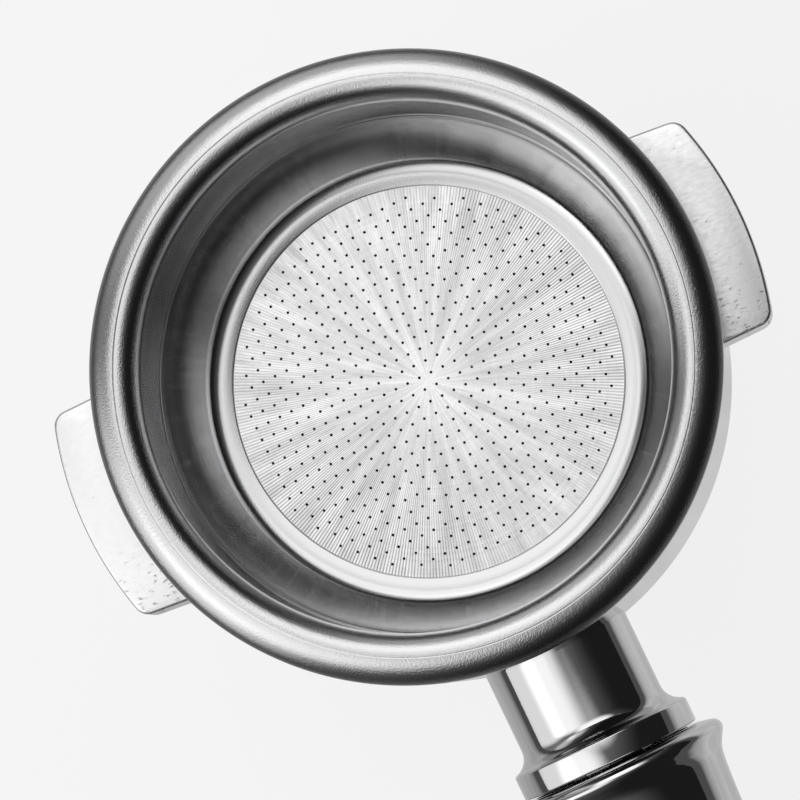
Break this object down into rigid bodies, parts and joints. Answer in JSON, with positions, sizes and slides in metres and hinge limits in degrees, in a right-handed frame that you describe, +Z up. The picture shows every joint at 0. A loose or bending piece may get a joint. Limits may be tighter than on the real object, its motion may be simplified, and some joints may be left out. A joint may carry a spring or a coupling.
{
  "type": "portafilter",
  "caption": "Portafilter for an espresso machine's 58 mm group: chromed holder with bayonet lugs, perforated filter basket, double spout and black handle.",
  "frame": {"origin": "centre of the filter basket's rim, on its top sealing plane", "axes": "+X from the holder's axis towards the handle, the bayonet lugs on +Y and -Y, +Z up out of the basket"},
  "size_m": [0.2384, 0.0808, 0.064],
  "materials": {
    "chrome_casting": "polished chrome, with the lugs ground to a bright satin",
    "chrome_ferrule": "polished chrome",
    "chrome_cap": "polished chrome",
    "chrome_spout": "polished chrome",
    "basket_steel": "semi-bright spun stainless steel, with a radially brushed floor",
    "spring_steel": "drawn stainless wire",
    "plated_steel": "zinc-plated steel",
    "brass_bush": "turned brass",
    "grip_black": "black phenolic, polished",
    "black_nylon": "black nylon",
    "black_rubber": "black nitrile rubber"
  },
  "bodies": {
    "holder": {"body_casting": "chrome_casting", "retaining_spring": "spring_steel", "handle_stud": "plated_steel", "neck_washer": "black_nylon", "spout_gasket": "black_rubber"},
    "basket": {"filter_basket": "basket_steel"},
    "handle": {"handle_ferrule": "chrome_ferrule", "ferrule_o_ring": "black_rubber", "handle_grip": "grip_black", "grip_bush": "brass_bush", "end_washer": "plated_steel", "end_nut": "plated_steel"},
    "cap": {"end_cap": "chrome_cap", "end_cap_o_ring": "black_rubber"},
    "lock_nut": {"spout_lock_nut": "chrome_spout"},
    "spout": {"spout_hub": "chrome_spout", "spout_tube_left": "chrome_spout", "spout_tube_right": "chrome_spout"}
  },
  "joints": [
    {"name": "basket_lift", "type": "slide", "parent": "holder", "child": "basket", "axis": [0, 0, 1], "range_m": [0, 0.03]},
    {"name": "handle_turn", "type": "hinge", "parent": "holder", "child": "handle", "pos_m": [0.04845, 0, -0.02859], "axis": [0.999, 0, -0.0436], "continuous": true},
    {"name": "end_cap_pull", "type": "slide", "parent": "handle", "child": "cap", "axis": [0.999, 0, -0.0436], "range_m": [0, 0.012]},
    {"name": "lock_nut_turn", "type": "hinge", "parent": "holder", "child": "lock_nut", "pos_m": [0, 0, -0.04585], "axis": [0, 0, 1], "continuous": true},
    {"name": "spout_turn", "type": "hinge", "parent": "holder", "child": "spout", "pos_m": [0, 0, -0.0539], "axis": [0, 0, 1], "continuous": true}
  ]
}
